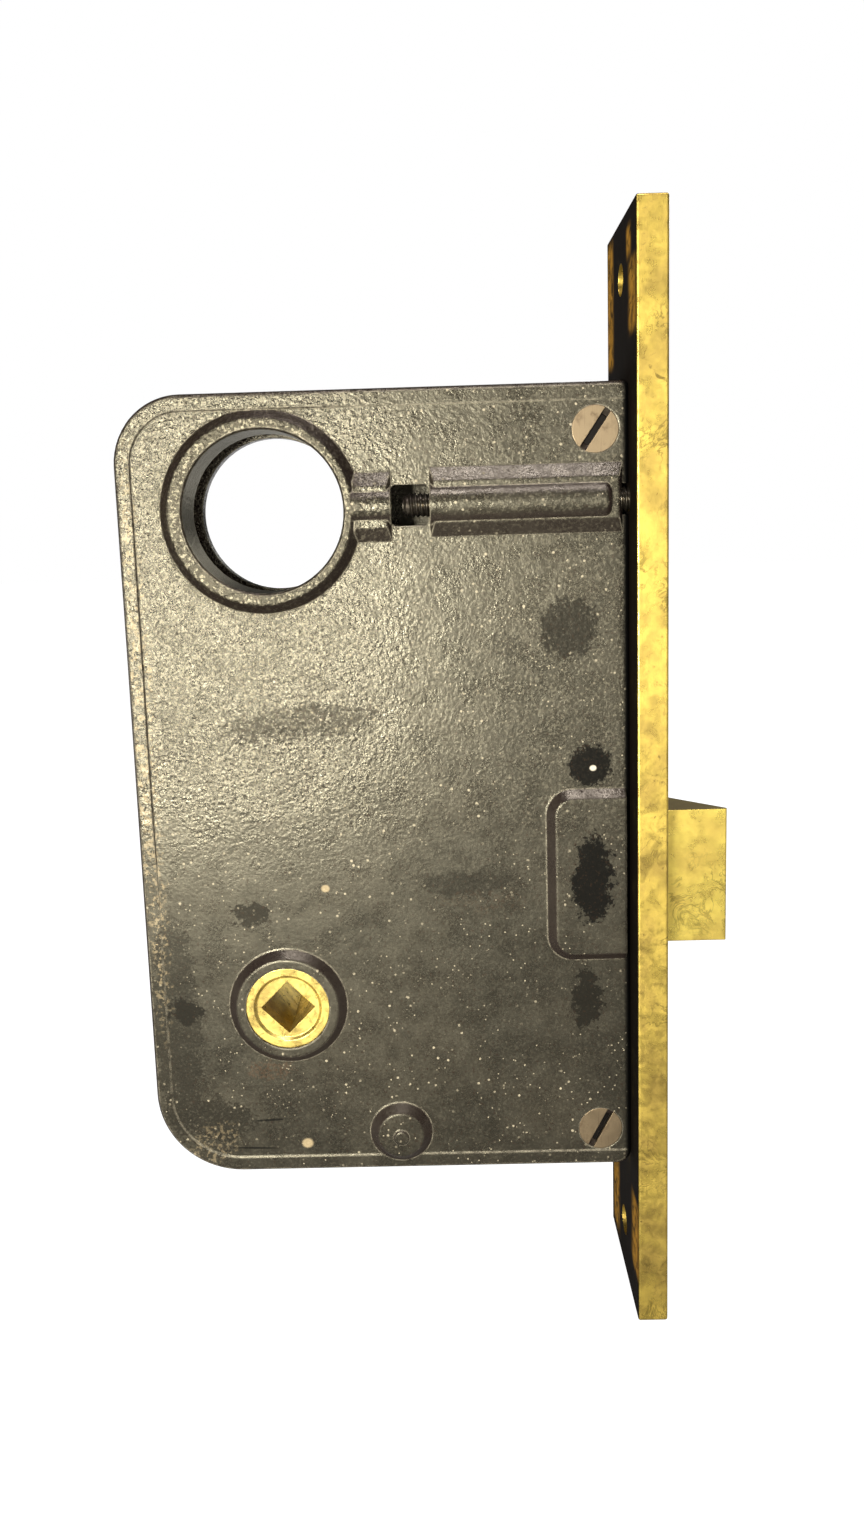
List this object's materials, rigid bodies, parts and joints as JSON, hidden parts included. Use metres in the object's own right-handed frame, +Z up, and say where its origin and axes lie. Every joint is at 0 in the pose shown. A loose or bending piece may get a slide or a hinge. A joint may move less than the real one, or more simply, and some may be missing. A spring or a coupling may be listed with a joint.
{
  "type": "mortise lock",
  "caption": "Mortise latch lock: cast case with cap, brass front, bevelled latch bolt, cylinder hole and square spindle hub.",
  "frame": {"origin": "middle of the brass front's rear face, the face that seats in the door's edge", "axes": "+X is the way the latch bolt projects, +Y runs from the case side to the cap side, +Z is up"},
  "size_m": [0.1093, 0.0318, 0.2032],
  "materials": {
    "japanned_iron": "worn glossy black japan over sand-cast iron",
    "japanned_iron_cap": "worn black japan over cast iron",
    "cap_screw_steel": "aged steel with japan in the slot",
    "front_brass": "aged yellow brass, tarnished on its rear face",
    "lug_screw_bronze": "dull bronze, dark slots",
    "set_screw_steel": "oiled dark steel",
    "latch_brass": "brass rubbed bright",
    "hub_brass": "turned brass",
    "lever_brass": "cast brass, dull",
    "tail_steel": "drawn steel, oiled",
    "lever_steel": "stamped steel, oiled",
    "guide_steel": "stamped steel",
    "pin_steel": "turned steel",
    "spring_steel": "blued spring wire"
  },
  "bodies": {
    "lock_case": {"case_body": "japanned_iron", "case_cap": "japanned_iron_cap", "cap_screws": "cap_screw_steel", "front_plate": "front_brass", "lug_screws": "lug_screw_bronze", "tail_guide": "guide_steel", "spring_washer": "guide_steel", "latch_spring": "spring_steel", "hub_lever_washer": "guide_steel", "hub_lever_stud": "pin_steel", "hub_spring": "spring_steel", "cylinder_lever_stud": "pin_steel"},
    "latch": {"latch_bolt": "latch_brass", "latch_bolt_pin": "pin_steel", "latch_tail": "tail_steel", "latch_crosshead": "tail_steel", "tail_drive_pin": "pin_steel"},
    "hub": {"hub": "hub_brass"},
    "hub_lever": {"hub_lever": "lever_steel"},
    "cylinder_lever": {"cylinder_lever": "lever_brass"},
    "set_screw": {"cylinder_set_screw": "set_screw_steel"}
  },
  "joints": [
    {"name": "latch_slide", "type": "slide", "parent": "lock_case", "child": "latch", "axis": [1, 0, 0], "range_m": [-0.0126, 0], "stiffness_N_per_m": 400, "springref_m": 0.01, "deforming": ["latch_spring"]},
    {"name": "hub_turn", "type": "hinge", "parent": "lock_case", "child": "hub", "pos_m": [-0.06465, 0, -0.0401], "axis": [0, -1, 0], "range_deg": [0, 40]},
    {"name": "hub_lever_swing", "type": "hinge", "parent": "lock_case", "child": "hub_lever", "pos_m": [-0.079, 0, -0.055], "axis": [0, -1, 0], "range_deg": [0, 18.3], "deforming": ["hub_spring"]},
    {"name": "cylinder_lever_swing", "type": "hinge", "parent": "lock_case", "child": "cylinder_lever", "pos_m": [-0.06465, 0, 0.01], "axis": [0, 1, 0], "range_deg": [0, 26]},
    {"name": "set_screw_slide", "type": "slide", "parent": "lock_case", "child": "set_screw", "axis": [-1, 0, 0], "range_m": [0, 0.0112]}
  ],
  "couplings": [
    {"joint": "hub_turn", "follows": "latch_slide", "rad_per_m": -55.4},
    {"joint": "hub_lever_swing", "follows": "latch_slide", "rad_per_m": -25.34},
    {"joint": "cylinder_lever_swing", "follows": "latch_slide", "rad_per_m": -35.99}
  ]
}
